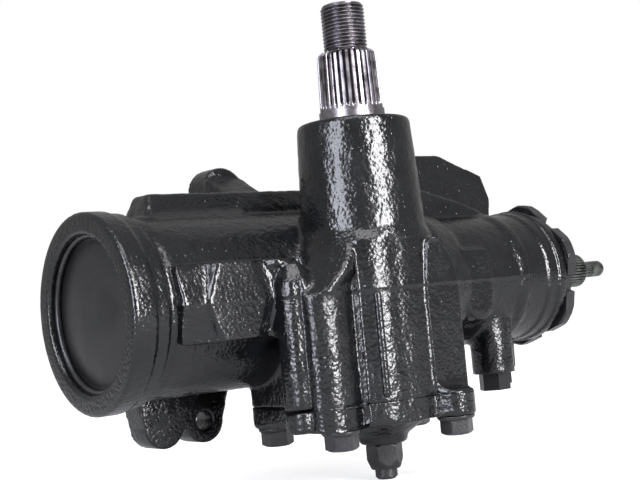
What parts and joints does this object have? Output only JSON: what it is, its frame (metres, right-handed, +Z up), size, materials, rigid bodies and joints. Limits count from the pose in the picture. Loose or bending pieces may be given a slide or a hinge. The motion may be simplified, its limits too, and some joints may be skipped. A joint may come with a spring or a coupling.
{
  "type": "steering gearbox",
  "caption": "Integral power steering gearbox with a cast housing, serrated sector shaft, domed bore plug, bolted side cover and rotary-valve input shaft.",
  "frame": {"origin": "on the sector shaft's axis at the foot of the arm serrations, where the arm seats", "axes": "+Z up along the sector shaft to its thread, +X along the worm to the input shaft, +Y towards the frame rail"},
  "size_m": [0.3684, 0.1367, 0.2394],
  "materials": {
    "casting_paint": "gloss black paint over rough casting",
    "plug_paint": "satin black paint on pressed steel",
    "black_fastener": "black painted steel",
    "shaft_steel": "bare machined steel, lightly oiled",
    "stub_steel": "bare steel with a grey-green phosphate bloom",
    "ground_steel": "ground bearing steel",
    "dark_steel": "oiled dark steel",
    "rubber": "nitrile rubber",
    "bronze": "sintered bronze",
    "seal_ring_plastic": "filled fluoropolymer",
    "plug_plastic": "black moulded plug"
  },
  "bodies": {
    "housing": {"housing": "casting_paint", "end_plug": "plug_paint", "end_plug_o_ring": "rubber", "end_plug_retaining_ring": "black_fastener", "side_cover": "casting_paint", "side_cover_seal": "rubber", "side_cover_bolts": "black_fastener", "cover_bushing": "bronze", "lash_screw": "black_fastener", "lash_nut": "black_fastener", "sector_bearing": "ground_steel", "sector_seal": "rubber", "seal_backup_washer": "ground_steel", "sector_dust_seal": "rubber", "sector_seal_ring": "dark_steel", "lower_thrust_races": "ground_steel", "lower_thrust_bearing": "ground_steel", "upper_thrust_races": "ground_steel", "upper_thrust_bearing": "ground_steel", "adjuster_plug": "black_fastener", "adjuster_o_ring": "rubber", "adjuster_lock_nut": "black_fastener", "stub_bearing": "ground_steel", "stub_seal": "rubber", "stub_dust_seal": "rubber", "stub_seal_ring": "dark_steel", "port_seats": "bronze", "port_plugs": "plug_plastic"},
    "sector": {"sector_shaft": "shaft_steel", "lash_shim": "ground_steel"},
    "rack": {"rack_piston": "dark_steel", "piston_end_plug": "dark_steel", "piston_ring": "seal_ring_plastic", "balls": "ground_steel", "ball_return_guide": "ground_steel", "guide_clamp": "dark_steel", "guide_clamp_screws": "dark_steel"},
    "worm": {"worm_shaft": "dark_steel", "valve_body": "dark_steel", "valve_body_rings": "seal_ring_plastic"},
    "input": {"stub_shaft": "stub_steel", "valve_spool": "dark_steel", "torsion_bar": "ground_steel"}
  },
  "joints": [
    {"name": "sector_swing", "type": "hinge", "parent": "housing", "child": "sector", "pos_m": [0, 0, 0], "axis": [0, 0, 1], "range_deg": [-40, 40]},
    {"name": "rack_slide", "type": "slide", "parent": "housing", "child": "rack", "axis": [1, 0, 0], "range_m": [-0.0189, 0.0189]},
    {"name": "worm_spin", "type": "hinge", "parent": "housing", "child": "worm", "pos_m": [0, 0.0455, -0.09], "axis": [1, 0, 0], "range_deg": [-641, 641]},
    {"name": "valve_twist", "type": "hinge", "parent": "worm", "child": "input", "pos_m": [0, 0.0455, -0.09], "axis": [1, 0, 0], "range_deg": [-5, 5], "stiffness_Nm_per_rad": 40}
  ],
  "couplings": [
    {"joint": "rack_slide", "follows": "sector_swing", "m_per_rad": -0.027},
    {"joint": "worm_spin", "follows": "sector_swing", "ratio": 16}
  ]
}
